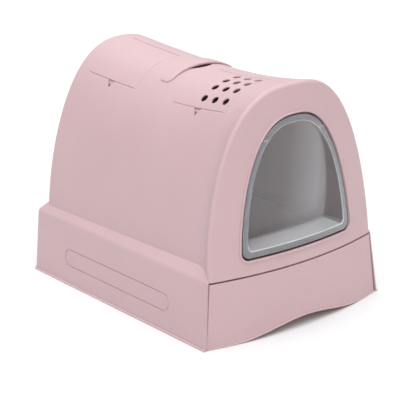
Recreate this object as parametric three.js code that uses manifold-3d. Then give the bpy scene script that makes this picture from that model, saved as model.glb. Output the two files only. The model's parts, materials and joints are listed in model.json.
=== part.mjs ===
// Hooded cat litter box: a one-piece hood with a drawer tray, a swing door, two roof hatches and a grab strap.
// Millimetres, +Z up. The door and the drawer look along -Y, and the origin is the middle of the footprint.
import * as THREE from 'three';
import { mergeVertices } from 'three/addons/utils/BufferGeometryUtils.js';
import Module from 'manifold-3d';

const wasm = await Module();
wasm.setup();

// ---- Driving dimensions ----

const GAP = 0.4; // between touching pieces
const WALL = 2.6; // hood moulding

// The straight lower part of the hood. Half widths are measured from the middle.
const SKIRT = { height: 117, foot: 197.5, top: 185, frontFoot: -252, frontTop: -248, rearFoot: 277.5, rearTop: 275 };
const LIP = { height: 3, out: 2.5 };
const LEDGE = { top: 136, halfWidth: 168, rear: 256 };

// The vault of the hood. It is lowest near the middle of its length and flares out to meet the front.
const DOME = {
  front: -248, rear: 254, frontFillet: 8, rearFillet: 8, frontLean: 18, rearLean: 17, bow: 28,
  heightFront: 427, heightSaddle: 411, heightRear: 431, saddleY: -54,
  widthFront: 185, widthMiddle: 169, widthRear: 174.5, flareStart: -200,
  risePower: [1.73, 1.62], spanPower: [2.8, 2.42],
};
const ARCH_STEPS = 32;
const FILLET_STEPS = 3;
const LENGTH_STEPS = 16;

const DOOR = { halfWidth: 122.5, bottom: 141.5, top: 374, corner: 16, risePower: 1.71, spanPower: 2.55 };
const DOOR_RIM = { width: 4, proud: 2 };
const FLAP = { clearance: 2.6, recess: 1.2, thickness: 2, flange: 11, dishDepth: 34, dishDraft: 18, dishRise: 10 };
const DOOR_AXIS = { halfWidth: 68, z: 338, depth: 3.9 };
const PIN = { radius: 1.5, clearance: 0.35, inner: 56, outer: 79.5 };
const KNUCKLE = { radius: 3, inner: 50, outer: 63 };
const BOSS = { inner: 75.5, outer: 82, height: 10, depth: 8 };

const HATCH = { left: -95, axisX: 6, length: 143, thickness: 2.2, gap: 0.8, edge: 3.8 };
const HATCH_PIN = { radius: 1.3, clearance: 0.35, depth: 3.2, inside: 12, outside: 6, bossRadius: 4.4 };
const HATCH_KNUCKLE = { radius: 3.2, length: 15 };
const NOTCH = { length: 23, drop: 9 };
const FILTER_HATCH_Y = -122.5;
const STORAGE_HATCH_Y = 131.5;
const VENT = { radius: 7, rows: 4, columns: 3, firstX: -80, pitchX: 24, firstY: -121.5, pitchY: -28.7, sides: 16 };

const BASKET = { left: -90, right: -3, length: 135, wall: 2, flange: 7, floor: 352 };
const BIN = { left: -90, right: -3, length: 139, wall: 2, flange: 7, floor: 334 };
const PAD = { height: 9, margin: 2 };
const GRILLE = { height: 3, bar: 4, bars: 4, gap: 0.5 };

const STRAP = {
  halfLength: 73, halfWidth: 15.5, corner: 10, y: 1.5, endRise: 2.8, middleRise: 5, lift: 0.9, slotRise: 1.6,
};
const HAND_HOLE = { halfLength: 30, halfWidth: 22 };
const STRAP_FOOT = { x: 56, length: 9, width: 18, depth: 9, clearance: 0.5 };

const FASCIA = { top: 114.8, side: 4.4, wall: 3, back: -244, archHeight: 19, archHalfWidth: 150 };
const TRAY = {
  floor: 5, top: 108, wall: 2.2, footHalfWidth: 163, topHalfWidth: 174, rim: 5, rimHeight: 3,
  front: -240, rear: 266, endDraft: 8,
};
const PAN = { halfWidth: 194, front: -228, rear: 274, thickness: 2.4, ribX: 124, ribHeight: 1.6, guideX: 177, guideTop: 26 };
const OBLONG = { middleY: 13.5, middleZ: 52, length: 320, height: 32, depth: 1.2 };
const SCOOP = { width: 74, bowl: 84, handle: 46, height: 30, wall: 2.4, slots: 6 };

const COLOURS = {
  shell: { color: 0xd3aeb2, roughness: 0.5, metalness: 0 },
  inner: { color: 0xcaa6aa, roughness: 0.6, metalness: 0 },
  smoke: { color: 0x8b8889, roughness: 0.12, metalness: 0 },
  pin: { color: 0xb99a9d, roughness: 0.5, metalness: 0 },
  carbon: { color: 0x232323, roughness: 0.95, metalness: 0 },
};

// ---- Solids ----

const UP = new THREE.Vector3(0, 1, 0);

/** Turns a closed three.js geometry into a manifold solid, dropping triangles that have collapsed to a line. */
function solid(geometry) {
  geometry.deleteAttribute('normal');
  geometry.deleteAttribute('uv');
  const merged = mergeVertices(geometry, 1e-4);
  const index = merged.index.array;
  const kept = [];
  for (let i = 0; i < index.length; i += 3) {
    const [a, b, c] = [index[i], index[i + 1], index[i + 2]];
    if (a !== b && b !== c && c !== a) kept.push(a, b, c);
  }
  const vertProperties = new Float32Array(merged.attributes.position.array);
  return new wasm.Manifold(new wasm.Mesh({ numProp: 3, vertProperties, triVerts: new Uint32Array(kept) }));
}

/** A unit box with the given divisions, each vertex moved by map(u, v, w), where u, v and w run from 0 to 1. */
function warpedBox([nu, nv, nw], map) {
  const box = new THREE.BoxGeometry(1, 1, 1, nu, nv, nw);
  const position = box.attributes.position;
  for (let i = 0; i < position.count; i += 1) {
    const point = map(position.getX(i) + 0.5, position.getY(i) + 0.5, position.getZ(i) + 0.5);
    position.setXYZ(i, ...point);
  }
  return solid(box);
}

function block([x0, x1], [y0, y1], [z0, z1]) {
  const box = new THREE.BoxGeometry(x1 - x0, y1 - y0, z1 - z0);
  box.translate((x0 + x1) / 2, (y0 + y1) / 2, (z0 + z1) / 2);
  return solid(box);
}

/** A block whose half width and ends change in a straight line from its bottom to its top. */
function taper(bottom, top) {
  return warpedBox([1, 1, 1], (u, v, w) => {
    const halfWidth = mix(bottom.halfWidth, top.halfWidth, w);
    const y = mix(mix(bottom.front, top.front, w), mix(bottom.rear, top.rear, w), v);
    return [mix(-halfWidth, halfWidth, u), y, mix(bottom.z, top.z, w)];
  });
}

/** A round rod between two points. */
function rod(radius, from, to, sides = 16) {
  const direction = to.clone().sub(from);
  const cylinder = new THREE.CylinderGeometry(radius, radius, direction.length(), sides);
  cylinder.applyQuaternion(new THREE.Quaternion().setFromUnitVectors(UP, direction.normalize()));
  const middle = from.clone().add(to).divideScalar(2);
  cylinder.translate(...middle);
  return solid(cylinder);
}

/** An outline in the XY plane, extruded upwards from z0 to z1. */
function prism(points, z0, z1) {
  const shape = new THREE.Shape(points);
  const geometry = new THREE.ExtrudeGeometry(shape, { depth: z1 - z0, bevelEnabled: false });
  geometry.translate(0, 0, z0);
  return solid(geometry);
}

function ellipse(x, y, halfLength, halfWidth, sides) {
  return new THREE.EllipseCurve(x, y, halfLength, halfWidth).getPoints(sides).slice(0, sides);
}

function mix(a, b, t) {
  return a + (b - a) * t;
}

function clamp01(t) {
  return Math.min(Math.max(t, 0), 1);
}

function union(...solids) {
  return solids.reduce((all, next) => all.add(next));
}

/** A quarter circle's inset at a distance from the edge that it rounds. */
function filletInset(radius, distance) {
  const left = Math.max(radius - distance, 0);
  return radius - Math.sqrt(radius * radius - left * left);
}

// ---- The vault's surface ----

/** Outer face of the hood's front and of the drawer's fascia: bowed in plan and leaning back above the skirt. */
function frontY(x, z) {
  const lean = DOME.frontLean * (z - SKIRT.height) / (DOME.heightFront - SKIRT.height);
  const foot = (SKIRT.frontTop - SKIRT.frontFoot) * Math.min(z / SKIRT.height - 1, 0);
  return DOME.front + Math.max(lean, 0) + foot - DOME.bow * (1 - (x / SKIRT.top) ** 2);
}

function rearY(z) {
  return DOME.rear - DOME.rearLean * clamp01((z - SKIRT.height) / (DOME.heightRear - SKIRT.height));
}

/** Half width, height and powers of the arch at one distance along the vault. */
function archAt(y) {
  const along = clamp01((y - DOME.front) / (DOME.rear - DOME.front));
  const flare = clamp01((DOME.flareStart - y) / (DOME.flareStart - DOME.front)) ** 2;
  const rearRise = clamp01((y - DOME.saddleY) / (DOME.rear - DOME.saddleY)) ** 1.5;
  const frontRise = clamp01((DOME.saddleY - y) / (DOME.saddleY - DOME.front)) ** 2;
  const straight = mix(DOME.widthMiddle, DOME.widthRear, along);
  return {
    halfWidth: straight + (DOME.widthFront - DOME.widthMiddle) * flare,
    height: DOME.heightSaddle + (DOME.heightRear - DOME.heightSaddle) * rearRise
      + (DOME.heightFront - DOME.heightSaddle) * frontRise,
    rise: mix(...DOME.risePower, along),
    span: mix(...DOME.spanPower, along),
  };
}

/** Height of the vault's outer surface. Its two ends lean, so the arch that holds a point is found in rounds. */
function domeZ(x, y) {
  let z = DOME.heightSaddle;
  for (let round = 0; round < 4; round += 1) {
    const share = (y - frontY(x, z)) / (rearY(z) - frontY(x, z));
    const arch = archAt(mix(DOME.front, DOME.rear, share));
    const side = clamp01(Math.abs(x) / arch.halfWidth) ** arch.span;
    z = SKIRT.height + (arch.height - SKIRT.height) * (1 - side) ** (1 / arch.rise);
  }
  return z;
}

/** Distances along the vault: fine steps round both fillets and even steps between them. */
function domeStation(step, frontRadius, rearRadius) {
  const quarter = Math.PI / 2 / FILLET_STEPS;
  const length = DOME.rear - DOME.front;
  if (step <= FILLET_STEPS) return frontRadius * (1 - Math.cos(step * quarter));
  const left = LENGTH_STEPS - step;
  if (left <= FILLET_STEPS) return length - rearRadius * (1 - Math.cos(left * quarter));
  const even = (step - FILLET_STEPS) / (LENGTH_STEPS - 2 * FILLET_STEPS);
  return mix(frontRadius, length - rearRadius, even);
}

/** The vault as a solid, inset by a depth from its outer surface. */
function domeSolid(inset, floor = SKIRT.height) {
  const frontRadius = Math.max(DOME.frontFillet - inset, 2);
  const rearRadius = Math.max(DOME.rearFillet - inset, 2);
  const length = DOME.rear - DOME.front;
  return warpedBox([ARCH_STEPS, LENGTH_STEPS, 1], (u, v, w) => {
    const station = domeStation(Math.round(v * LENGTH_STEPS), frontRadius, rearRadius);
    const rounding = filletInset(frontRadius, station) + filletInset(rearRadius, length - station);
    const arch = archAt(DOME.front + station);
    const angle = Math.PI * (1 - u);
    const across = Math.sign(Math.cos(angle)) * Math.abs(Math.cos(angle)) ** (2 / arch.span);
    const up = Math.sin(angle) ** (2 / arch.rise);
    const x = (arch.halfWidth - inset - rounding) * across;
    const crown = SKIRT.height + (arch.height - SKIRT.height - inset - rounding) * up;
    const z = mix(floor, crown, w);
    const y = mix(frontY(x, Math.max(z, SKIRT.height)) + inset, rearY(z) - inset, station / length);
    return [x, y, z];
  });
}

const domeOuter = domeSolid(0);
const layers = new Map();

/** The layer of the vault between two depths below its outer surface. */
function domeLayer(from, to) {
  const key = `${from} ${to}`;
  if (!layers.has(key)) layers.set(key, domeSolid(from, 300).subtract(domeSolid(to, 290)));
  return layers.get(key);
}

// ---- Arched outlines of the door ----

/** Half width and height of an arch's outline, from its floor (t = 0) round its lower corner to its crown. */
function outlineAt(arch, t) {
  const cornerShare = 0.3;
  const rise = arch.top - arch.bottom;
  const z = t < cornerShare
    ? arch.bottom + arch.corner * (1 - Math.cos(t / cornerShare * Math.PI / 2))
    : arch.bottom + mix(arch.corner, rise, Math.sin((t - cornerShare) / (1 - cornerShare) * Math.PI / 2));
  const height = (z - arch.bottom) / rise;
  const halfWidth = arch.halfWidth * Math.max(1 - height ** arch.risePower, 0) ** (1 / arch.spanPower);
  return { halfWidth: Math.max(halfWidth - filletInset(arch.corner, z - arch.bottom), 0), z };
}

function insetArch(arch, inset) {
  return {
    ...arch,
    halfWidth: arch.halfWidth - inset,
    bottom: arch.bottom + inset,
    top: arch.top - inset,
    corner: Math.max(arch.corner - inset * 0.5, 4),
  };
}

/** A slab with an arched outline, whose near and far faces are given by near(x, z) and far(x, z). */
function archSlab(arch, near, far) {
  return warpedBox([12, 1, 16], (u, v, w) => {
    const outline = outlineAt(arch, w);
    const x = mix(-outline.halfWidth, outline.halfWidth, u);
    return [x, mix(near(x, outline.z), far(x, outline.z), v), outline.z];
  });
}

// ---- Sub-parts ----

const flapArch = insetArch(DOOR, FLAP.clearance);
const doorAxisY = frontY(DOOR_AXIS.halfWidth, DOOR_AXIS.z) + DOOR_AXIS.depth;

function hatchFrame(middleY, margin) {
  const half = HATCH.length / 2 + margin;
  return { front: middleY - half, rear: middleY + half };
}

/** A point on a hatch's hinge axis, which slopes with the ridge between the hatch's two ends. */
function hatchAxisPoint(middleY, y) {
  const { front, rear } = hatchFrame(middleY, 0);
  const z = mix(domeZ(HATCH.axisX, front), domeZ(HATCH.axisX, rear), (y - front) / (rear - front));
  return new THREE.Vector3(HATCH.axisX, y, z - HATCH_PIN.depth);
}

function hatchRod(middleY, radius, y0, y1, sides) {
  return rod(radius, hatchAxisPoint(middleY, y0), hatchAxisPoint(middleY, y1), sides);
}

function skirtSolid(inset, bottom) {
  const side = (z) => mix(SKIRT.foot, SKIRT.top, z / SKIRT.height) - inset;
  const front = (z) => mix(SKIRT.frontFoot, SKIRT.frontTop, z / SKIRT.height) - (inset > 0 ? 20 : 0);
  const rear = (z) => mix(SKIRT.rearFoot, SKIRT.rearTop, z / SKIRT.height) - inset;
  const level = (z) => ({ z, halfWidth: side(z), front: front(z), rear: rear(z) });
  const ledge = {
    z: LEDGE.top - inset, halfWidth: LEDGE.halfWidth - inset, front: DOME.front + 6 + inset, rear: LEDGE.rear - inset,
  };
  const foot = { ...level(SKIRT.height), front: DOME.front + 6 + inset };
  return union(taper(level(bottom), level(SKIRT.height)), taper(foot, ledge));
}

function hood() {
  const lip = block(
    [-SKIRT.foot - LIP.out, SKIRT.foot + LIP.out],
    [SKIRT.frontFoot, SKIRT.rearFoot + LIP.out],
    [0, LIP.height],
  );
  const outside = union(lip, skirtSolid(0, 0), domeOuter);
  const inside = union(skirtSolid(WALL, -5), domeSolid(WALL, SKIRT.height - 10));
  let body = outside.subtract(inside);
  body = body.add(doorRim()).subtract(archSlab(DOOR, () => -320, () => -200));
  body = body.add(doorBosses()).subtract(doorPinHoles());
  for (const middleY of [FILTER_HATCH_Y, STORAGE_HATCH_Y]) {
    const cut = hatchCut(middleY);
    body = body.add(hatchBosses(middleY)).subtract(cut);
    for (const end of [-1, 1]) body = body.subtract(hatchPin(middleY, end, HATCH_PIN.clearance));
    body = body.subtract(notch(middleY));
  }
  body = body.subtract(handHole()).subtract(strapFeet(STRAP_FOOT.clearance));
  return body.subtract(oblong(-1)).subtract(oblong(1));
}

/** The raised rim round the door opening. */
function doorRim() {
  const near = (x, z) => frontY(x, z) - DOOR_RIM.proud;
  const far = (x, z) => frontY(x, z) + 1;
  return archSlab(insetArch(DOOR, -DOOR_RIM.width), near, far);
}

function doorBosses() {
  const blocks = [-1, 1].map((side) => {
    const span = [side * BOSS.inner, side * BOSS.outer].sort((a, b) => a - b);
    const tall = [DOOR_AXIS.z - BOSS.height / 2, DOOR_AXIS.z + BOSS.height / 2];
    return block(span, [doorAxisY - 8, doorAxisY + BOSS.depth / 2], tall);
  });
  return union(...blocks).intersect(domeSolid(1, 200));
}

function doorPinHoles() {
  return union(...[-1, 1].map((side) => doorRod(side, PIN.radius + PIN.clearance, PIN.inner, PIN.outer + GAP)));
}

function hatchCut(middleY) {
  const { front, rear } = hatchFrame(middleY, HATCH.gap);
  return block([HATCH.left - HATCH.gap, HATCH.axisX + HATCH.edge], [front, rear], [340, 460]);
}

/** Bosses under the vault that hold the outer ends of a hatch's two pins. */
function hatchBosses(middleY) {
  const { front, rear } = hatchFrame(middleY, HATCH.gap);
  const length = HATCH_PIN.outside + 2;
  const ends = union(
    hatchRod(middleY, HATCH_PIN.bossRadius, front - length, front),
    hatchRod(middleY, HATCH_PIN.bossRadius, rear, rear + length),
  );
  return ends.intersect(domeSolid(0.4, 300));
}

/** The pin at the front (end = -1) or rear (end = 1) of a hatch, or with a clearance the hole for it. */
function hatchPin(middleY, end, clearance = 0) {
  const edge = middleY + end * HATCH.length / 2;
  const inner = edge - end * (HATCH_PIN.inside + clearance);
  const outer = edge + end * (HATCH_PIN.outside + clearance);
  return hatchRod(middleY, HATCH_PIN.radius + clearance, inner, outer, 12);
}

/** The V-shaped fingernail notch through the hood under a hatch's free edge. */
function notch(middleY) {
  const outline = [
    new THREE.Vector2(HATCH.left, middleY - NOTCH.length / 2),
    new THREE.Vector2(HATCH.left, middleY + NOTCH.length / 2),
    new THREE.Vector2(HATCH.left - NOTCH.drop, middleY),
  ];
  return prism(outline, 340, 440);
}

function handHole() {
  return prism(ellipse(0, STRAP.y, HAND_HOLE.halfLength, HAND_HOLE.halfWidth, 32), 380, 440);
}

function strapFeet(clearance) {
  const feet = [-1, 1].map((side) => {
    const middle = side * STRAP_FOOT.x;
    const half = STRAP_FOOT.length / 2 + clearance;
    const halfWidth = STRAP_FOOT.width / 2 + clearance;
    const top = domeZ(middle, STRAP.y);
    const tall = [top - STRAP_FOOT.depth - (clearance ? 6 : 0), top + (clearance ? 6 : 1)];
    return block([middle - half, middle + half], [STRAP.y - halfWidth, STRAP.y + halfWidth], tall);
  });
  return union(...feet);
}

/** A shallow oblong panel, sunk in one side of the skirt. */
function oblong(side) {
  const straight = OBLONG.length / 2 - OBLONG.height / 2;
  const shape = new THREE.Shape();
  shape.absarc(straight, 0, OBLONG.height / 2, -Math.PI / 2, Math.PI / 2);
  shape.absarc(-straight, 0, OBLONG.height / 2, Math.PI / 2, Math.PI * 1.5);
  const geometry = new THREE.ExtrudeGeometry(shape, { depth: 20, bevelEnabled: false, curveSegments: 8 });
  geometry.rotateX(Math.PI / 2);
  geometry.rotateZ(side * Math.PI / 2);
  const lean = Math.atan((SKIRT.foot - SKIRT.top) / SKIRT.height);
  geometry.rotateY(-side * lean);
  const skin = mix(SKIRT.foot, SKIRT.top, OBLONG.middleZ / SKIRT.height);
  geometry.translate(side * (skin - OBLONG.depth), OBLONG.middleY, OBLONG.middleZ);
  return solid(geometry);
}

function basePan() {
  const floor = block([-PAN.halfWidth, PAN.halfWidth], [PAN.front, PAN.rear], [0, PAN.thickness]);
  const strips = [-1, 1].flatMap((side) => [
    [side * PAN.ribX - 4, side * PAN.ribX + 4, PAN.thickness + PAN.ribHeight],
    [side * PAN.guideX - 1.5, side * PAN.guideX + 1.5, PAN.guideTop],
  ]);
  const ribs = strips.map(([x0, x1, top]) => block([x0, x1], [PAN.front + 10, PAN.rear - 6], [1, top]));
  return union(floor, ...ribs);
}

/** The tray's outer or inner form, as a block that narrows to its floor. */
function trayForm(inset, floor, top) {
  const level = (z) => {
    const share = (z - TRAY.floor) / (TRAY.top - TRAY.floor);
    return {
      z,
      halfWidth: mix(TRAY.footHalfWidth, TRAY.topHalfWidth, share) - inset,
      front: TRAY.front + inset + TRAY.endDraft * (1 - share) * 0.4,
      rear: TRAY.rear - inset - TRAY.endDraft * (1 - share),
    };
  };
  return taper(level(floor), level(top));
}

function litterTray() {
  const form = trayForm(0, TRAY.floor, TRAY.top);
  const rim = block(
    [-TRAY.topHalfWidth - TRAY.rim, TRAY.topHalfWidth + TRAY.rim],
    [TRAY.front, TRAY.rear + TRAY.rim],
    [TRAY.top - TRAY.rimHeight, TRAY.top],
  );
  return form.add(rim).subtract(trayForm(TRAY.wall, TRAY.floor + TRAY.wall, TRAY.top + 5));
}

/** Height of the fascia's lower edge, which arches up in the middle as a finger grip. */
function fasciaFoot(x) {
  const t = clamp01(1 - Math.abs(x) / FASCIA.archHalfWidth);
  return FASCIA.archHeight * t * t * (3 - 2 * t);
}

function fasciaForm(inset, back, bottomInset = inset) {
  return warpedBox([24, 1, 4], (u, v, w) => {
    const foot = fasciaFoot(mix(-SKIRT.foot, SKIRT.foot, u)) + bottomInset;
    const z = mix(foot, FASCIA.top - inset, w);
    const halfWidth = mix(SKIRT.foot, SKIRT.top, z / SKIRT.height) - FASCIA.side - inset;
    const x = mix(-halfWidth, halfWidth, u);
    return [x, mix(frontY(x, z) + inset, back, v), z];
  });
}

/** The drawer's front, a bowed cap that is hollow behind. */
function drawerFront() {
  const lip = warpedBox([24, 1, 1], (u, v, w) => {
    const halfWidth = SKIRT.foot - FASCIA.side;
    const x = mix(-halfWidth, halfWidth, u);
    const z = fasciaFoot(x) + w * LIP.height;
    return [x, mix(frontY(x, 0), frontY(x, 0) + 6, v), z];
  });
  return fasciaForm(0, FASCIA.back).add(lip).subtract(fasciaForm(FASCIA.wall, FASCIA.back + 10));
}

/** The transparent flap: a flange in the opening round a dish that deepens towards its foot. */
function doorFlap() {
  const face = (x, z) => frontY(x, z) + FLAP.recess;
  const dish = insetArch(flapArch, FLAP.flange);
  const flange = archSlab(flapArch, face, (x, z) => face(x, z) + FLAP.thickness);
  const depthAt = (z) => FLAP.dishDepth * clamp01((dish.top - z) / (dish.top - dish.bottom));
  const form = (grow, start) => warpedBox([12, 1, 16], (u, v, w) => {
    const outline = outlineAt(dish, w);
    const depth = depthAt(outline.z);
    const share = depth / FLAP.dishDepth;
    const halfWidth = Math.max(outline.halfWidth + grow - v * share * FLAP.dishDraft, 0);
    const x = mix(-halfWidth, halfWidth, u);
    const lowering = grow * (1 - w) - grow * w;
    const z = outline.z - lowering + v * FLAP.dishRise * (1 - w) ** 2;
    return [x, face(x, z) + mix(start, Math.max(depth + grow, start + 0.2), v), z];
  });
  const shell = flange.add(form(FLAP.thickness, 0.5)).subtract(form(0, -1.5));
  return shell.add(flapKnuckles(face)).subtract(flapPinHoles());
}

/** A rod on the door's hinge axis, on the left (side = -1) or the right (side = 1). */
function doorRod(side, radius, inner, outer) {
  const at = (x) => new THREE.Vector3(side * x, doorAxisY, DOOR_AXIS.z);
  return rod(radius, at(inner), at(outer));
}

function flapKnuckles(face) {
  const rods = union(...[-1, 1].map((side) => doorRod(side, KNUCKLE.radius, KNUCKLE.inner, KNUCKLE.outer)));
  return rods.intersect(archSlab(flapArch, face, (x, z) => face(x, z) + 30));
}

function flapPinHoles() {
  return union(...[-1, 1].map((side) => doorRod(side, PIN.radius + PIN.clearance, PIN.inner - GAP, PIN.outer)));
}

function doorPin(side) {
  return doorRod(side, PIN.radius, PIN.inner, PIN.outer);
}

/** A curved lid that lies flush in the vault and turns about a pin near the ridge. */
function hatchLid(middleY) {
  const { front, rear } = hatchFrame(middleY, 0);
  const lid = block([HATCH.left, HATCH.axisX], [front, rear], [345, 460]);
  const roundEdge = hatchRod(middleY, HATCH_KNUCKLE.radius, front, rear);
  const plate = domeLayer(0, HATCH.thickness).intersect(lid.add(roundEdge));
  const knuckles = union(
    hatchRod(middleY, HATCH_KNUCKLE.radius, front, front + HATCH_KNUCKLE.length),
    hatchRod(middleY, HATCH_KNUCKLE.radius, rear - HATCH_KNUCKLE.length, rear),
  ).intersect(domeOuter);
  const holes = union(...[-1, 1].map((end) => hatchPin(middleY, end, HATCH_PIN.clearance)));
  return plate.add(knuckles).subtract(holes);
}

function ventHoles() {
  const holes = [];
  for (let row = 0; row < VENT.rows; row += 1) {
    for (let column = 0; column < VENT.columns; column += 1) {
      const x = VENT.firstX + row * VENT.pitchX;
      const y = VENT.firstY + column * VENT.pitchY;
      const slope = Math.atan((domeZ(x + 1, y) - domeZ(x - 1, y)) / 2);
      const hole = new THREE.CylinderGeometry(VENT.radius, VENT.radius, 16, VENT.sides);
      hole.rotateX(Math.PI / 2);
      hole.rotateY(-slope);
      hole.translate(x, y, domeZ(x, y));
      holes.push(solid(hole));
    }
  }
  return union(...holes);
}

/** An open box that hangs under a hatch from a curved flange on three sides. */
function hangingBox(box, middleY, floorCuts) {
  const half = box.length / 2;
  const flangeDepth = [WALL + GAP, WALL + GAP + box.wall];
  const outline = (grow, z) => block(
    [box.left - grow, box.right + Math.min(grow, 0)],
    [middleY - half - grow, middleY + half + grow],
    z,
  );
  const roof = domeSolid(WALL + GAP, 280);
  const walls = outline(0, [box.floor, 460]).intersect(roof);
  const inner = outline(-box.wall, [box.floor + box.wall, 460]);
  const flange = domeLayer(...flangeDepth).intersect(outline(box.flange, [320, 460]));
  const body = walls.add(flange).subtract(inner);
  return floorCuts ? body.subtract(floorCuts) : body;
}

function basketSlots() {
  const slots = [];
  for (let i = 0; i < 5; i += 1) {
    const y = FILTER_HATCH_Y + (i - 2) * 24;
    slots.push(block([BASKET.left + 10, BASKET.right - 10], [y - 6, y + 6], [BASKET.floor - 1, BASKET.floor + 5]));
  }
  return union(...slots);
}

function carbonPad() {
  const half = BASKET.length / 2 - BASKET.wall - PAD.margin;
  const x = [BASKET.left + BASKET.wall + PAD.margin, BASKET.right - BASKET.wall - PAD.margin];
  const z = BASKET.floor + BASKET.wall + GAP;
  return block(x, [FILTER_HATCH_Y - half, FILTER_HATCH_Y + half], [z, z + PAD.height]);
}

/** A frame with cross bars that keeps the filter pad down. */
function padGrille() {
  const half = BASKET.length / 2 - BASKET.wall - GRILLE.gap;
  const x0 = BASKET.left + BASKET.wall + GRILLE.gap;
  const x1 = BASKET.right - BASKET.wall - GRILLE.gap;
  const z0 = BASKET.floor + BASKET.wall + PAD.height + 2 * GAP;
  const z = [z0, z0 + GRILLE.height];
  const frame = block([x0, x1], [FILTER_HATCH_Y - half, FILTER_HATCH_Y + half], z);
  const pitch = (2 * half - GRILLE.bar) / (GRILLE.bars + 1);
  const windows = [];
  for (let i = 0; i <= GRILLE.bars; i += 1) {
    const y = FILTER_HATCH_Y - half + GRILLE.bar + i * pitch;
    windows.push(block([x0 + GRILLE.bar, x1 - GRILLE.bar], [y, y + pitch - GRILLE.bar], [z[0] - 1, z[1] + 1]));
  }
  return frame.subtract(union(...windows));
}

/** A slotted scoop with a short handle, which lies in the storage bin. */
function scoop() {
  const x = (BIN.left + BIN.right) / 2;
  const z0 = BIN.floor + BIN.wall + GAP;
  const length = SCOOP.bowl + SCOOP.handle;
  const front = STORAGE_HATCH_Y - length / 2;
  const half = SCOOP.width / 2;
  const bowlBack = front + SCOOP.bowl;
  const outer = block([x - half, x + half], [front, bowlBack], [z0, z0 + SCOOP.height]);
  const mouth = prismX(x - half - 1, x + half + 1, [
    [front - 1, z0 + 6], [bowlBack - 20, z0 + SCOOP.height + 1], [front - 1, z0 + SCOOP.height + 1],
  ]);
  const hollow = block(
    [x - half + SCOOP.wall, x + half - SCOOP.wall],
    [front - 1, bowlBack - SCOOP.wall],
    [z0 + SCOOP.wall, z0 + SCOOP.height + 5],
  );
  const handle = block([x - 12, x + 12], [bowlBack - 1, bowlBack + SCOOP.handle], [z0 + SCOOP.height - 9, z0 + SCOOP.height]);
  const slots = [];
  for (let i = 0; i < SCOOP.slots; i += 1) {
    const sx = x - half + 8 + i * (SCOOP.width - 16) / (SCOOP.slots - 1);
    slots.push(block([sx - 2.2, sx + 2.2], [front + 10, bowlBack - 14], [z0 - 1, z0 + SCOOP.wall + 1]));
  }
  return outer.subtract(hollow).subtract(mouth).add(handle).subtract(union(...slots));
}

/** An outline of [y, z] points, extruded along X. */
function prismX(x0, x1, points) {
  const shape = new THREE.Shape(points.map(([y, z]) => new THREE.Vector2(y, z)));
  const geometry = new THREE.ExtrudeGeometry(shape, { depth: x1 - x0, bevelEnabled: false });
  geometry.rotateX(Math.PI / 2);
  geometry.rotateZ(Math.PI / 2);
  geometry.translate(x0, 0, 0);
  return solid(geometry);
}

/** The grab strap: a bowed band with round corners over the hand hole, on two feet that go through the vault. */
function strap() {
  const steps = 28;
  const band = warpedBox([steps, 4, 1], (u, v, w) => {
    const x = -STRAP.halfLength * Math.cos(Math.PI * u);
    const half = STRAP.halfWidth - filletInset(STRAP.corner, STRAP.halfLength - Math.abs(x));
    const y = STRAP.y + mix(-half, half, v);
    const middle = (1 - (x / STRAP.halfLength) ** 2) ** 2;
    const top = mix(STRAP.endRise, STRAP.middleRise, middle);
    const under = mix(STRAP.lift, STRAP.slotRise, middle);
    return [x, y, domeZ(x, y) + mix(under, top, w)];
  });
  return band.add(strapFeet(0));
}

// ---- Assembly ----

function mesh(name, look, manifold) {
  const { vertProperties, triVerts } = manifold.getMesh();
  const geometry = new THREE.BufferGeometry();
  geometry.setAttribute('position', new THREE.BufferAttribute(new Float32Array(vertProperties), 3));
  geometry.setIndex(new THREE.BufferAttribute(new Uint32Array(triVerts), 1));
  geometry.computeVertexNormals();
  const material = new THREE.MeshStandardMaterial(COLOURS[look]);
  const result = new THREE.Mesh(geometry, material);
  result.name = name;
  return result;
}

const litterBox = new THREE.Group();
litterBox.add(
  mesh('hood', 'shell', hood()),
  mesh('handle_strap', 'shell', strap()),
  mesh('base_pan', 'inner', basePan()),
  mesh('litter_tray', 'inner', litterTray()),
  mesh('drawer_front', 'shell', drawerFront()),
  mesh('door_flap', 'smoke', doorFlap()),
  mesh('door_pin_left', 'pin', doorPin(-1)),
  mesh('door_pin_right', 'pin', doorPin(1)),
  mesh('filter_hatch', 'shell', hatchLid(FILTER_HATCH_Y).subtract(ventHoles())),
  mesh('filter_hatch_pin_front', 'pin', hatchPin(FILTER_HATCH_Y, -1)),
  mesh('filter_hatch_pin_rear', 'pin', hatchPin(FILTER_HATCH_Y, 1)),
  mesh('filter_basket', 'inner', hangingBox(BASKET, FILTER_HATCH_Y, basketSlots())),
  mesh('filter_pad', 'carbon', carbonPad()),
  mesh('filter_grille', 'inner', padGrille()),
  mesh('storage_hatch', 'shell', hatchLid(STORAGE_HATCH_Y)),
  mesh('storage_hatch_pin_front', 'pin', hatchPin(STORAGE_HATCH_Y, -1)),
  mesh('storage_hatch_pin_rear', 'pin', hatchPin(STORAGE_HATCH_Y, 1)),
  mesh('storage_bin', 'inner', hangingBox(BIN, STORAGE_HATCH_Y, null)),
  mesh('litter_scoop', 'shell', scoop()),
);

export default litterBox;
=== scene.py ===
"""Looks of a hooded cat litter box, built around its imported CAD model. Shapes are in millimetres."""

import json
import math

import bmesh
import bpy
import numpy as np
from mathutils import Matrix, Vector
from mathutils.kdtree import KDTree


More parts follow.
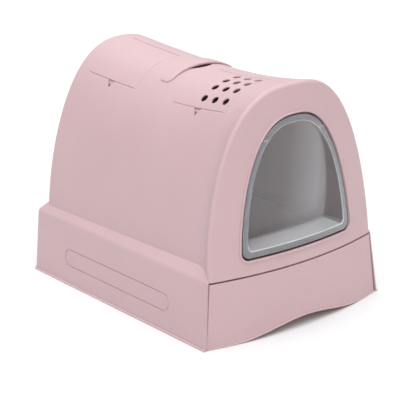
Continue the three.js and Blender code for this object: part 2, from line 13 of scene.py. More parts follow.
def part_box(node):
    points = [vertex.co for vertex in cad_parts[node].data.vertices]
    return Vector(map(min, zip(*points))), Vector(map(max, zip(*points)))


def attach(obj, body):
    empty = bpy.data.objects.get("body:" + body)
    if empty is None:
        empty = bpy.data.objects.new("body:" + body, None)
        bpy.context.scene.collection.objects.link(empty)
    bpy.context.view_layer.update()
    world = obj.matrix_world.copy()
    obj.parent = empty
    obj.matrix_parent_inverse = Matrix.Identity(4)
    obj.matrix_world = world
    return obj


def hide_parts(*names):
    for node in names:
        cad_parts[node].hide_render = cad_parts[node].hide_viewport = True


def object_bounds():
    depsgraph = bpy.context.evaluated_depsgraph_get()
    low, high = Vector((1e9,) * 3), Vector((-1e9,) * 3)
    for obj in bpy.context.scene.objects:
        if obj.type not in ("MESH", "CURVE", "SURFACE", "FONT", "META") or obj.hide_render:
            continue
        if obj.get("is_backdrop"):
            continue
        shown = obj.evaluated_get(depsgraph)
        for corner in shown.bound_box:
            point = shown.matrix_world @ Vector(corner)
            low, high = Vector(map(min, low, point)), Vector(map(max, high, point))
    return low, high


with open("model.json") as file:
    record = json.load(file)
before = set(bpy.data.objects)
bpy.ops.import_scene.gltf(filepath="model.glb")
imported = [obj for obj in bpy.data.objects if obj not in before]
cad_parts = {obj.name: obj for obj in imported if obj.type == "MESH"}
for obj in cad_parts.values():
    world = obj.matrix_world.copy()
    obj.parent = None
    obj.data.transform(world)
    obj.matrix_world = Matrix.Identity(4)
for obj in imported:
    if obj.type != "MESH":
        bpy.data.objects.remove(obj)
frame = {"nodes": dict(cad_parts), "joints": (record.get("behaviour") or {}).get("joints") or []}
cad_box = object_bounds()

MM = 0.001
TAU = 2 * math.pi

# ---- Dimensions in millimetres, with the meanings that they have in the CAD source ----

WALL = 2.6
SKIRT = dict(
    height=117, foot=197.5, top=185, front_foot=-252, front_top=-248, rear_foot=277.5, rear_top=275,
    shoulder=5, corner=9,
)
LIP = dict(height=3, out=2.5, corner=10, proud=1.5)
LEDGE = dict(top=136, half_width=168, rear=256)
DOME = dict(
    front=-248, rear=254, fillet=8, front_lean=18, rear_lean=17, bow=28,
    height_front=427, height_saddle=411, height_rear=431, saddle_y=-54,
    width_front=185, width_middle=169, width_rear=174.5, flare_start=-200,
    rise=(1.73, 1.62), span=(2.8, 2.42),
)
DOOR = dict(half_width=122.5, bottom=141.5, top=374, corner=16, rise=1.71, span=2.55)
DOOR_RIM = dict(width=4, proud=2)
DOOR_BOSS = dict(radius=4.6, inner=75.5, outer=82.0, hole=1.6, hole_inner=70.0, hole_outer=79.8, under=0.6)
FLAP = dict(clearance=3.6, recess=1.2, thickness=1.5, flange=11, depth=34, draft=18, rise=10, step=0.45)
FLAP_KNUCKLE = dict(radius=2.65, inner=50.0, outer=63.0, hole=1.85, hole_inner=55.6, hole_outer=80.0)
HATCH = dict(
    left=-95, axis_x=6, length=143, thickness=2.2, gap=0.2, edge=3.35, overhang=3.0, corner=1.2,
    lower_rounding=1.2, end_rounding=0.6, mouth_rounding=1.1,
)
HATCH_Y = {"filter": -122.5, "storage": 131.5}
HATCH_BOSS = dict(radius=4.4, length=8, under=0.4)
HATCH_KNUCKLE = dict(radius=3.0, length=15, hole=1.65, hole_length=12.5, under=0.5)
PIN_DEPTH = 3.2
NOTCH = dict(length=24, drop=9.5, overlap=1.5, corner=1.0, rounding=0.4, depth=6.0)
VENT = dict(
    radius=7, rows=4, columns=3, first_x=-80, pitch_x=24, first_y=-121.5, pitch_y=-28.7,
    rounding=0.7, depth=8.0,
)
STRAP = dict(
    half_length=73, half_width=15.5, corner=10, y=1.5, end_rise=3.4, middle_rise=5, lift=0.2, slot_rise=1.6,
    rounding=0.9,
)
HAND_HOLE = dict(half_length=30, half_width=22, rounding=1.6)
ROOF_CUT_DEPTH = 14.0
FASCIA = dict(top=113.5, side=4.6, wall=3, back=-244, arch_height=19, arch_half_width=150)
TRAY = dict(
    floor=5, top=108, wall=2.2, foot_half_width=163, top_half_width=174, rim=5, rim_height=3,
    front=-240, rear=266, end_draft=8,
)
OBLONG = dict(middle_y=13.5, middle_z=52, length=320, height=32, depth=1.4, groove=1.3, sink=0.35)
PAD = dict(rounding=2.5, crown=0.5)
NODE_EDGE = 0.5

# ---- How finely the curved shapes are divided ----

ARCH_FLOOR_STEPS, ARCH_SIDE_STEPS = 24, 72
SIDE_PARTS, NOTCH_PARTS = 28, 8
MOUTH_STEPS, ROD_SIDES = 5, 32
LID_STEPS, STRAP_STEPS, FASCIA_STEPS, PAD_STEPS = 60, (96, 28), (108, 40), 40


# ---- The surfaces that the pieces follow ----

def mix(a, b, t):
    """A value between a (t = 0) and b (t = 1)."""
    return a + (b - a) * t


def clamp01(t):
    """A share, kept between 0 and 1."""
    return np.clip(t, 0.0, 1.0)


def fillet_inset(radius, distance):
    """A quarter circle's inset at a distance from the edge that it rounds."""
    left = np.maximum(radius - distance, 0.0)
    return radius - np.sqrt(np.maximum(radius * radius - left * left, 0.0))


def front_y(x, z):
    """Front of the hood and the drawer: bowed in plan, and leaning back above the skirt."""
    lean = DOME["front_lean"] * (z - SKIRT["height"]) / (DOME["height_front"] - SKIRT["height"])
    foot = (SKIRT["front_top"] - SKIRT["front_foot"]) * np.minimum(z / SKIRT["height"] - 1, 0)
    return DOME["front"] + np.maximum(lean, 0) + foot - DOME["bow"] * (1 - (x / SKIRT["top"]) ** 2)


def rear_y(z):
    """Rear of the vault, which leans forward above the skirt."""
    share = clamp01((z - SKIRT["height"]) / (DOME["height_rear"] - SKIRT["height"]))
    return DOME["rear"] - DOME["rear_lean"] * share


def arch_at(y):
    """Half width, height and powers of the vault's arch at one distance along it."""
    d = DOME
    along = clamp01((y - d["front"]) / (d["rear"] - d["front"]))
    flare = clamp01((d["flare_start"] - y) / (d["flare_start"] - d["front"])) ** 2
    rear = clamp01((y - d["saddle_y"]) / (d["rear"] - d["saddle_y"])) ** 1.5
    front = clamp01((d["saddle_y"] - y) / (d["saddle_y"] - d["front"])) ** 2
    half = mix(d["width_middle"], d["width_rear"], along) + (d["width_front"] - d["width_middle"]) * flare
    rise_rear, rise_front = d["height_rear"] - d["height_saddle"], d["height_front"] - d["height_saddle"]
    height = d["height_saddle"] + rise_rear * rear + rise_front * front
    return half, height, mix(*d["rise"], along), mix(*d["span"], along)


def vault_z(x, y):
    """Height of the vault's outer surface. Its ends lean, so the arch for a point is found in rounds."""
    z = np.full(np.shape(x + y), float(DOME["height_saddle"]))
    for _ in range(5):
        share = (y - front_y(x, z)) / (rear_y(z) - front_y(x, z))
        half, height, rise, span = arch_at(mix(DOME["front"], DOME["rear"], share))
        side = clamp01(np.abs(x) / half) ** span
        z = SKIRT["height"] + (height - SKIRT["height"]) * (1 - side) ** (1 / rise)
    return z


def on_vault(x, y, out=0.0):
    """A point that lies out above the vault, along its normal."""
    x, y = np.asarray(x, float), np.asarray(y, float)
    slope_x = vault_z(x + 0.5, y) - vault_z(x - 0.5, y)
    slope_y = vault_z(x, y + 0.5) - vault_z(x, y - 0.5)
    reach = out / np.sqrt(1 + slope_x ** 2 + slope_y ** 2)
    return np.stack([x - reach * slope_x, y - reach * slope_y, vault_z(x, y) + reach], -1)


def on_front(x, z, out=0.0):
    """A point that lies out in front of the hood's front, along its normal."""
    x, z = np.asarray(x, float), np.asarray(z, float)
    bow = 2 * DOME["bow"] * x / SKIRT["top"] ** 2
    lean = DOME["front_lean"] / (DOME["height_front"] - SKIRT["height"])
    reach = out / np.sqrt(1 + bow ** 2 + lean ** 2)
    return np.stack([x + reach * bow, front_y(x, z) - reach, z + reach * lean], -1)


def on_side(side, y, z, out=0.0):
    """A point that lies out from the skirt's left (side = -1) or right (side = 1) wall."""
    y, z = np.asarray(y, float), np.asarray(z, float)
    slope = (SKIRT["foot"] - SKIRT["top"]) / SKIRT["height"]
    reach = out / math.hypot(1, slope)
    x = SKIRT["foot"] - slope * z + reach
    return np.stack([side * x, y, z + reach * slope], -1)


# ---- Meshes ----

LARGEST_CHIP = 20
SHARP_ANGLE = 38.0


def make(name, points, faces):
    """A mesh object from points in millimetres, with collapsed faces removed and normals outward."""
    mesh = bpy.data.meshes.new(name)
    mesh.from_pydata((np.asarray(points, float) * MM).tolist(), [], faces)
    bm = bmesh.new()
    bm.from_mesh(mesh)
    bmesh.ops.remove_doubles(bm, verts=bm.verts, dist=2e-6)
    bmesh.ops.dissolve_degenerate(bm, edges=bm.edges, dist=1e-6)
    bmesh.ops.recalc_face_normals(bm, faces=bm.faces)
    bm.to_mesh(mesh)
    bm.free()
    piece = bpy.data.objects.new(name, mesh)
    bpy.context.scene.collection.objects.link(piece)
    return piece


def lattice(name, counts, place):
    """A closed mesh on the six sides of a lattice; place(u, v, w) gives points for shares from 0 to 1."""
    nu, nv, nw = counts
    index, faces = {}, []

    def quad(*corners):
        faces.append([index.setdefault(corner, len(index)) for corner in corners])

    for i in range(nu):
        for j in range(nv):
            quad((i, j, 0), (i, j + 1, 0), (i + 1, j + 1, 0), (i + 1, j, 0))
            quad((i, j, nw), (i + 1, j, nw), (i + 1, j + 1, nw), (i, j + 1, nw))
        for k in range(nw):
            quad((i, 0, k), (i + 1, 0, k), (i + 1, 0, k + 1), (i, 0, k + 1))
            quad((i, nv, k), (i, nv, k + 1), (i + 1, nv, k + 1), (i + 1, nv, k))
    for j in range(nv):
        for k in range(nw):
            quad((0, j, k), (0, j, k + 1), (0, j + 1, k + 1), (0, j + 1, k))
            quad((nu, j, k), (nu, j + 1, k), (nu, j + 1, k + 1), (nu, j, k + 1))
    shares = np.array(list(index), float) / counts
    return make(name, np.stack(place(*shares.T), -1), faces)


def loft(name, rings):
    """A closed mesh through rings with the same number of points, capped at both ends."""
    rings = [np.asarray(ring, float) for ring in rings]
    n = len(rings[0])
    points = np.concatenate(rings + [rings[0].mean(0)[None], rings[-1].mean(0)[None]])
    first, last = len(rings) * n, len(rings) * n + 1
    faces = []
    for r in range(len(rings) - 1):
        a, b = r * n, (r + 1) * n
        faces += [[a + i, a + (i + 1) % n, b + (i + 1) % n, b + i] for i in range(n)]
    faces += [[first, (i + 1) % n, i] for i in range(n)]
    top = (len(rings) - 1) * n
    faces += [[last, top + i, top + (i + 1) % n] for i in range(n)]
    return make(name, points, faces)


def ring_solid(name, rings):
    """A closed mesh through rings that end where they start, such as a rim with a rounded section."""
    rings = [np.asarray(ring, float) for ring in rings]
    n, count = len(rings[0]), len(rings)
    faces = []
    for r in range(count):
        a, b = r * n, (r + 1) % count * n
        faces += [[a + i, a + (i + 1) % n, b + (i + 1) % n, b + i] for i in range(n)]
    return make(name, np.concatenate(rings), faces)


def rod(name, radius, start, end):
    """A round rod between two points."""
    start, end = Vector(start), Vector(end)
    across = (end - start).orthogonal().normalized()
    other = (end - start).normalized().cross(across)
    turn = [TAU * i / ROD_SIDES for i in range(ROD_SIDES)]
    circle = [radius * (math.cos(a) * across + math.sin(a) * other) for a in turn]
    return loft(name, [[tuple(start + c) for c in circle], [tuple(end + c) for c in circle]])


def combine(piece, tools, operation="DIFFERENCE"):
    """Applies a boolean with each tool, and removes the tools."""
    for tool in tools:
        modifier = piece.modifiers.new("boolean", "BOOLEAN")
        modifier.operation = operation
        modifier.solver = "MANIFOLD"
        modifier.object = tool
    apply_modifiers(piece)
    for tool in tools:
        bpy.data.objects.remove(tool)
    return piece


def apply_modifiers(piece):
    """Gives a piece the mesh that its modifiers make, and removes them."""
    depsgraph = bpy.context.evaluated_depsgraph_get()
    depsgraph.update()
    mesh = bpy.data.meshes.new_from_object(piece.evaluated_get(depsgraph))
    piece.modifiers.clear()
    old = piece.data
    piece.data = mesh
    bpy.data.meshes.remove(old)
    mesh.name = piece.name


def clean(piece):
    """Removes the loose chips with few points that booleans leave, and merges points that coincide."""
    bm = bmesh.new()
    bm.from_mesh(piece.data)
    seen, chips = set(), []
    for start in bm.verts:
        if start in seen:
            continue
        seen.add(start)
        part = [start]
        for vertex in part:
            joined = [link.other_vert(vertex) for link in vertex.link_edges]
            fresh = [other for other in joined if other not in seen]
            seen.update(fresh)
            part += fresh
        if len(part) < LARGEST_CHIP:
            chips += part
    bmesh.ops.delete(bm, geom=chips, context="VERTS")
    bmesh.ops.remove_doubles(bm, verts=bm.verts, dist=1e-6)
    bmesh.ops.dissolve_degenerate(bm, edges=bm.edges, dist=1e-6)
    bm.to_mesh(piece.data)
    bm.free()


def shade(piece, angle):
    """Smooth shading that large faces lead, with the sharp edges kept."""
    piece.data.shade_smooth()
    piece.data.set_sharp_from_angle(angle=math.radians(angle))
    modifier = piece.modifiers.new("weighted normals", "WEIGHTED_NORMAL")
    modifier.mode = "FACE_AREA"
    modifier.weight = 50
    modifier.keep_sharp = True


def finish_piece(piece, body, nodes, materials, angle=SHARP_ANGLE):
    """Smooths a piece, gives it its materials, ties it to its body, and hides the CAD nodes it stands for.
    """
    clean(piece)
    shade(piece, angle)
    places = [face.material_index for face in piece.data.polygons]
    piece.data.materials.clear()
    for material in materials:
        piece.data.materials.append(material)
    piece.data.polygons.foreach_set("material_index", [min(i, len(materials) - 1) for i in places])
    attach(piece, body)
    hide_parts(*nodes)


# ---- Outlines ----

def smooth_steps(count, edge):
    """Shares from 0 to 1 with fine steps close to both ends; edge is the share that is stepped finely."""
    fine = edge * (1 - np.cos(np.linspace(0, math.pi / 2, 7)))
    middle = np.linspace(edge, 1 - edge, count - 12 + 1)[1:-1]
    return np.concatenate([fine, middle, 1 - fine[::-1]])


def offset_loop(loop, grow):
    """A closed counterclockwise loop of 2D points, moved outward."""
    ahead, behind = np.roll(loop, -1, 0), np.roll(loop, 1, 0)
    first, second = loop - behind, ahead - loop
    normals = [np.stack([d[:, 1], -d[:, 0]], -1) for d in (first, second)]
    normals = [v / np.maximum(np.linalg.norm(v, axis=1, keepdims=True), 1e-9) for v in normals]
    bisector = normals[0] + normals[1]
    bisector /= np.maximum((bisector ** 2).sum(1, keepdims=True) / 2, 1e-9)
    return loop + grow * bisector


def rounded_polygon(corners, radius, parts):
    """A closed counterclockwise loop through 2D corners, rounded, with each side in a number of parts."""
    corners = np.array(corners, float)
    arcs = []
    for before, corner, after in zip(np.roll(corners, 1, 0), corners, np.roll(corners, -1, 0)):
        a, b = ((end - corner) / np.linalg.norm(end - corner) for end in (before, after))
        half = math.acos(a @ b) / 2
        centre = corner + (a + b) / np.linalg.norm(a + b) * radius / math.sin(half)
        start, end = (corner + side * radius / math.tan(half) - centre for side in (a, b))
        sweep = math.pi - 2 * half
        turn = np.linspace(0, 1, 7)[:, None] * sweep
        arcs.append(centre + (np.sin(sweep - turn) * start + np.sin(turn) * end) / math.sin(sweep))
    loop = []
    for arc, following in zip(arcs, arcs[1:] + arcs[:1]):
        loop += list(arc) + [mix(arc[-1], following[0], t) for t in np.linspace(0, 1, parts + 1)[1:-1]]
    return np.array(loop)


def outline_at(arch, t):
    """Half width and height of a door arch, from its floor (t = 0) round its lower corner to its crown."""
    t = np.asarray(t, float)
    corner_share = 0.3
    rise = arch["top"] - arch["bottom"]
    corner = arch["corner"] * (1 - np.cos(t / corner_share * math.pi / 2))
    above = mix(arch["corner"], rise, np.sin((t - corner_share) / (1 - corner_share) * math.pi / 2))
    up = np.where(t < corner_share, corner, above)
    half = arch["half_width"] * np.maximum(1 - (up / rise) ** arch["rise"], 0) ** (1 / arch["span"])
    return np.maximum(half - fillet_inset(arch["corner"], up), 0), arch["bottom"] + up


def inset_arch(arch, inset):
    """A door arch moved inward on all sides, with tighter corners."""
    corner = max(arch["corner"] - inset * 0.5, 4)
    return dict(arch, half_width=arch["half_width"] - inset, bottom=arch["bottom"] + inset,
                top=arch["top"] - inset, corner=corner)


def arch_loop(arch):
    """An arch's outline as a counterclockwise loop of [x, z] from its lower left corner."""
    half, z = outline_at(arch, np.linspace(0, 1, ARCH_SIDE_STEPS + 1))
    floor = [[x, z[0]] for x in np.linspace(-half[0], half[0], ARCH_FLOOR_STEPS + 1)]
    right = list(zip(half[1:], z[1:]))
    left = list(zip(-half[1:-1], z[1:-1]))[::-1]
    return np.array(floor + right + left)


def mouth(loop, place, radius, depth, above=6.0):
    """Rings of a cutter whose opening is rounded; place(points, out) puts 2D points on the surface."""
    rings = [place(offset_loop(loop, radius), above)]
    for angle in np.linspace(0, math.pi / 2, MOUTH_STEPS):
        grow = radius * (1 - math.sin(angle))
        rings.append(place(offset_loop(loop, grow), -radius * (1 - math.cos(angle))))
    rings.append(place(loop, -depth))
    return rings


def vault_place(points, out):
    """Points [x, y] put on the vault."""
    return on_vault(points[:, 0], points[:, 1], out)


def front_place(points, out):
    """Points [x, z] put on the hood's front."""
    return on_front(points[:, 0], points[:, 1], out)


# ---- The hood ----

def arc_angles(steps):
    """Angles over the vault's arch, spaced evenly by the length of its outline."""
    half, height, rise, span = (float(v) for v in arch_at(np.array(0.0)))
    angle = np.linspace(0, math.pi, 4001)
    x = -half * np.sign(np.cos(angle)) * np.abs(np.cos(angle)) ** (2 / span)
    z = (height - SKIRT["height"]) * np.sin(angle) ** (2 / rise)
    length = np.concatenate([[0], np.cumsum(np.hypot(np.diff(x), np.diff(z)))])
    return np.interp(np.linspace(0, length[-1], steps + 1), length, angle)


def vault(name, inset, floor, across=148, along=96):
    """The vault as a solid, inset from its outer surface."""
    radius = max(DOME["fillet"] - inset, 2)
    length = DOME["rear"] - DOME["front"]
    quarter = radius * (1 - np.cos(np.linspace(0, math.pi / 2, 9)))
    middle = np.linspace(radius, length - radius, along - 16 + 1)[1:-1]
    stations = np.concatenate([quarter, middle, length - quarter[::-1]])
    angles = arc_angles(across)

    def place(u, v, w):
        station = stations[np.rint(v * along).astype(int)]
        angle = angles[np.rint(u * across).astype(int)]
        rounding = fillet_inset(radius, station) + fillet_inset(radius, length - station)
        half, height, rise, span = arch_at(DOME["front"] + station)
        x = -np.sign(np.cos(angle)) * np.abs(np.cos(angle)) ** (2 / span) * (half - inset - rounding)
        rounded = height - SKIRT["height"] - inset - rounding
        crown = SKIRT["height"] + rounded * np.sin(angle) ** (2 / rise)
        z = mix(floor, np.maximum(crown, floor), w)
        y = mix(front_y(x, np.maximum(z, SKIRT["height"])) + inset, rear_y(z) - inset, station / length)
        return x, y, z

    return lattice(name, (across, along, 4), place)


def plan_ring(half_width, front, rear, z, corner):
    """A level ring: square corners in front and round ones at the rear."""
    turn = np.linspace(0, math.pi / 2, 9)
    x, y = half_width - corner, rear - corner
    right = [[x + corner * math.cos(a), y + corner * math.sin(a)] for a in turn]
    left = [[-x, y] for x, y in right[::-1]]
    return np.array([[x, y, z] for x, y in [[-half_width, front], [half_width, front]] + right + left])


def skirt(name, inset, bottom):
    """The hood's lower part: leaning walls, a rounded shoulder, and a ledge that rises to the vault."""
    def at(z):
        ends = (("foot", "top"), ("front_foot", "front_top"), ("rear_foot", "rear_top"))
        return np.array([mix(SKIRT[low], SKIRT[high], z / SKIRT["height"]) for low, high in ends] + [z])

    shoulder = at(SKIRT["height"])
    ledge = np.array([LEDGE["half_width"], DOME["front"] + 6, LEDGE["rear"], LEDGE["top"]])
    if inset:
        past_front = 20
        low, foot, top = at(bottom), shoulder.copy(), ledge - np.array([0, 0, 0, inset])
        low[1] -= past_front
        shoulder[1] -= past_front
        foot[1] = ledge[1] + 2 * inset
        top[1] += 2 * inset
        levels = [low, shoulder, foot, top]
    else:
        low, high = at(SKIRT["height"] - SKIRT["shoulder"]), mix(shoulder, ledge, 0.2)
        bend = [low * (1 - t) ** 2 + 2 * shoulder * t * (1 - t) + high * t * t
                for t in np.linspace(0, 1, 7)]
        levels = [at(bottom)] + bend + [ledge]
    corner = SKIRT["corner"] - inset
    rings = [plan_ring(half - inset, front, rear - inset, z, corner) for half, front, rear, z in levels]
    return loft(name, rings)


def lip_ring():
    """The lip round the hood's foot, with its profile as pairs of height and reach."""
    foot, front, rear, out = SKIRT["foot"], SKIRT["front_foot"], SKIRT["rear_foot"], LIP["out"]
    profile = [(0.0, out - 0.8), (0.6, out), (LIP["height"] - 1.0, out), (LIP["height"], out - 1.2)]
    rings = [plan_ring(foot + reach, front, rear + reach, z, LIP["corner"]) for z, reach in profile]
    return loft("lip", rings)


def door_rim():
    """The raised rim round the door opening, with round edges."""
    width, proud = DOOR_RIM["width"], DOOR_RIM["proud"]
    section = [(0.0, -WALL - 0.6), (0.0, proud - 1.1), (0.35, proud - 0.35), (1.1, proud),
               (width - 1.3, proud), (width - 0.4, proud - 0.4), (width, proud - 1.3), (width, -WALL - 0.6)]
    outline = arch_loop(DOOR)
    return ring_solid("rim", [front_place(offset_loop(outline, grow), out) for grow, out in section])


def hatch_opening(middle_y):
    """Outline of the hole in the roof for a hatch, which is wider than its lid by the gap."""
    half = HATCH["length"] / 2 + HATCH["gap"]
    front, rear = middle_y - half, middle_y + half
    left, right = HATCH["left"] - HATCH["gap"], HATCH["axis_x"] + HATCH["edge"]
    corners = [(left, front), (right, front), (right, rear), (left, rear)]
    return rounded_polygon(corners, HATCH["corner"], SIDE_PARTS)


def notch_outline(middle_y):
    """Outline of the finger notch, a triangle that points down the roof from the hatch's lower edge."""
    half, inner = NOTCH["length"] / 2, HATCH["left"] + NOTCH["overlap"]
    tip = (HATCH["left"] - NOTCH["drop"], middle_y)
    return rounded_polygon([tip, (inner, middle_y - half), (inner, middle_y + half)],
                           NOTCH["corner"], NOTCH_PARTS)


def stadium(length, height):
    """A counterclockwise loop with straight long sides and half circles for ends."""
    radius = height / 2
    turn = np.linspace(-math.pi / 2, math.pi / 2, 17)
    right = [[length / 2 - radius + radius * math.cos(a), radius * math.sin(a)] for a in turn]
    left = [[-x, -y] for x, y in right]
    top = [[x, radius] for x in np.linspace(length / 2 - radius, radius - length / 2, 32)[1:-1]]
    bottom = [[-x, -radius] for x, _ in top]
    return np.array(right + top + left + bottom)


def side_panel(side):
    """Cutters for the oblong panel in one side of the skirt: a shallow sink and the groove round it."""
    outline = stadium(OBLONG["length"], OBLONG["height"])

    def place(points, out):
        y, z = OBLONG["middle_y"] + side * points[:, 0], OBLONG["middle_z"] + points[:, 1]
        return on_side(side, y, z, out)

    half, depth, above = OBLONG["groove"] / 2, OBLONG["depth"], 2.0
    section = [(half, above), (half, -depth), (-half, -depth), (-half, above)]
    groove = ring_solid("groove", [place(offset_loop(outline, grow - half), out) for grow, out in section])
    return [loft("panel", [place(outline, above), place(outline, -OBLONG["sink"])]), groove]


def hinge_rods(name, hatch, radius, spans):
    """Rods on a hatch's hinge axis, each between two distances along Y from the joint's own point."""
    joint = next(j for j in frame["joints"] if j["name"] == f"{hatch}_hatch_hinge")
    middle, axis = Vector(joint["pos_m"]) / MM, Vector(joint["axis"]).normalized()
    rods = [rod(name, radius, middle + axis * (a / axis.y), middle + axis * (b / axis.y)) for a, b in spans]
    return combine(rods[0], rods[1:], "UNION")


def door_rods(name, radius, inner, outer):
    """A rod on each side of the door's hinge axis, between two distances from the middle."""
    joint = next(j for j in frame["joints"] if j["name"] == "door_swing")
    _, y, z = Vector(joint["pos_m"]) / MM
    rods = [rod(name, radius, (side * inner, y, z), (side * outer, y, z)) for side in (-1, 1)]
    return combine(rods[0], rods[1:], "UNION")


def keep_under_roof(piece, depth):
    """Cuts off what reaches closer to the roof's outer surface than a depth."""
    return combine(piece, [vault("outer", depth, SKIRT["height"])], "INTERSECT")


def hinge_bosses():
    """The hood's bosses for the hinge pins: two for each hatch and two for the door."""
    half = HATCH["length"] / 2 + HATCH["gap"]
    spans = [(-half - HATCH_BOSS["length"], -half), (half, half + HATCH_BOSS["length"])]
    bosses = [hinge_rods("boss", hatch, HATCH_BOSS["radius"], spans) for hatch in HATCH_Y]
    bosses = [keep_under_roof(boss, HATCH_BOSS["under"]) for boss in bosses]
    door = door_rods("boss", DOOR_BOSS["radius"], DOOR_BOSS["inner"], DOOR_BOSS["outer"])
    return bosses + [keep_under_roof(door, DOOR_BOSS["under"])]


def hand_hole():
    """Cutter for the oval hole under the strap."""
    turn = np.linspace(0, TAU, 65)[:-1]
    x, y = HAND_HOLE["half_length"] * np.cos(turn), STRAP["y"] + HAND_HOLE["half_width"] * np.sin(turn)
    outline = np.stack([x, y], -1)
    return loft("hand hole", mouth(outline, vault_place, HAND_HOLE["rounding"], ROOF_CUT_DEPTH, above=25.0))


def build_hood():
    """The hood: skirt, vault and lip in one wall, with its doorway, bosses, openings and side panels."""
    hood = combine(skirt("hood_shell", 0, 0), [lip_ring(), vault("outer", 0, SKIRT["height"])], "UNION")
    combine(hood, [skirt("inner", WALL, -5.0), vault("inner", WALL, SKIRT["height"] - 12.0, 96, 64)])
    doorway = offset_loop(arch_loop(DOOR), 1.0)
    combine(hood, [loft("doorway", [front_place(doorway, 60), front_place(doorway, -40)])])
    combine(hood, [door_rim()], "UNION")
    combine(hood, hinge_bosses(), "UNION")
    cutters = [door_rods("pin holes", DOOR_BOSS["hole"], DOOR_BOSS["hole_inner"], DOOR_BOSS["hole_outer"])]
    for middle_y in HATCH_Y.values():
        rounding = HATCH["mouth_rounding"]
        opening = mouth(hatch_opening(middle_y), vault_place, rounding, ROOF_CUT_DEPTH, above=40.0)
        notch = mouth(notch_outline(middle_y), vault_place, NOTCH["rounding"], NOTCH["depth"])
        cutters += [loft("opening", opening), loft("notch", notch)]
    cutters += [hand_hole()] + side_panel(-1) + side_panel(1)
    return combine(hood, cutters)


# ---- The roof hatches and the strap ----

def vent_cutter(x, y):
    """Cutter for one round hole, at right angles to the roof."""
    turn = np.linspace(0, TAU, 41)[:-1]
    circle = VENT["radius"] * np.stack([np.cos(turn), np.sin(turn)], -1)
    low, high = vault_z(np.array([x - 1.0, x + 1.0]), np.array([y, y]))
    slope = math.atan((high - low) / 2)
    along = np.array([math.cos(slope), 0, math.sin(slope)])

    def place(points, out):
        return on_vault(x, y, out) + points[:, :1] * along + points[:, 1:] * np.array([0.0, 1.0, 0.0])

    return loft("vent", mouth(circle, place, VENT["rounding"], VENT["depth"], above=4.0))


def vent_cutters():
    """Cutters for the rows of round holes of the filter hatch."""
    x = [VENT["first_x"] + row * VENT["pitch_x"] for row in range(VENT["rows"])]
    y = [VENT["first_y"] + column * VENT["pitch_y"] for column in range(VENT["columns"])]
    return [vent_cutter(across, along) for across in x for along in y]


def build_lid(name, hatch):
    """A curved lid that lies flush in the vault, with round edges and two knuckles under its hinge edge."""
    half = HATCH["length"] / 2
    front, rear = HATCH_Y[hatch] - half, HATCH_Y[hatch] + half
    left, right = HATCH["left"], HATCH["axis_x"] + HATCH["overhang"]
    steps_x, steps_y = smooth_steps(LID_STEPS, 0.02), smooth_steps(LID_STEPS, 0.015)

    def place(u, v, w):
        x = mix(left, right, steps_x[np.rint(u * LID_STEPS).astype(int)])
        y = mix(front, rear, steps_y[np.rint(v * LID_STEPS).astype(int)])
        past = np.clip(x - HATCH["axis_x"], 0, PIN_DEPTH)
        lower_edge = fillet_inset(HATCH["lower_rounding"], x - left)
        hinge_edge = PIN_DEPTH - np.sqrt(PIN_DEPTH ** 2 - past ** 2)
        ends = fillet_inset(HATCH["end_rounding"], np.minimum(y - front, rear - y))
        top = np.maximum(lower_edge + hinge_edge, ends)
        depth = mix(np.maximum(HATCH["thickness"], top + 0.3), top, w)
        return tuple(on_vault(x, y, -depth).T)

    def at_ends(length, past=0.0):
        return [(-half - past, length - half), (half - length, half + past)]

    knuckles = hinge_rods("knuckles", hatch, HATCH_KNUCKLE["radius"], at_ends(HATCH_KNUCKLE["length"]))
    holes = hinge_rods("pin holes", hatch, HATCH_KNUCKLE["hole"], at_ends(HATCH_KNUCKLE["hole_length"], 1))
    lid = lattice(name, (LID_STEPS, LID_STEPS, 1), place)
    combine(lid, [keep_under_roof(knuckles, HATCH_KNUCKLE["under"])], "UNION")
    return combine(lid, [holes])


def build_strap():
    """The grab strap: a low bowed band with round corners over the hand hole."""
    count_x, count_y = STRAP_STEPS
    steps_x, steps_y = smooth_steps(count_x, 0.03), smooth_steps(count_y, 0.12)

    def place(u, v, w):
        x = STRAP["half_length"] * (2 * steps_x[np.rint(u * count_x).astype(int)] - 1)
        half = STRAP["half_width"] - fillet_inset(STRAP["corner"], STRAP["half_length"] - np.abs(x))
        across = (2 * steps_y[np.rint(v * count_y).astype(int)] - 1) * half
        middle = (1 - (x / STRAP["half_length"]) ** 2) ** 2
        rise = mix(STRAP["end_rise"], STRAP["middle_rise"], middle)
        under = mix(STRAP["lift"], STRAP["slot_rise"], middle)
        edge = np.minimum(half - np.abs(across), STRAP["half_length"] - np.abs(x))
        top = rise - fillet_inset(STRAP["rounding"], edge)
        y = STRAP["y"] + across
        return x, y, vault_z(x, y) + mix(under, top, w)

    return lattice("grab_strap", (count_x, count_y, 2), place)


# ---- The drawer ----

def fascia_foot(x):
    """Height of the fascia's lower edge, which arches up in the middle as a finger grip."""
    t = clamp01(1 - np.abs(x) / FASCIA["arch_half_width"])
    return FASCIA["arch_height"] * t * t * (3 - 2 * t)


def fascia(name, inset, back, rounding):
    """The bowed board of the drawer front as a solid, inset from its outer surface."""
    count_x, count_z = FASCIA_STEPS
    steps_x, steps_z = smooth_steps(count_x, 0.006), smooth_steps(count_z, 0.02)

    def place(u, v, w):
        across, up = steps_x[np.rint(u * count_x).astype(int)], steps_z[np.rint(w * count_z).astype(int)]
        foot = fascia_foot(mix(-SKIRT["foot"], SKIRT["foot"], across)) + inset
        z = mix(foot, FASCIA["top"] - inset, up)
        half = mix(SKIRT["foot"], SKIRT["top"], z / SKIRT["height"]) - FASCIA["side"] - inset
        x = mix(-half, half, across)
        edge = np.minimum(np.minimum(half - np.abs(x), z - foot), FASCIA["top"] - inset - z)
        y = front_y(x, z) + inset + fillet_inset(rounding, edge)
        return x, mix(y, np.full_like(y, back), v), z

    return lattice(name, (count_x, 1, count_z), place)


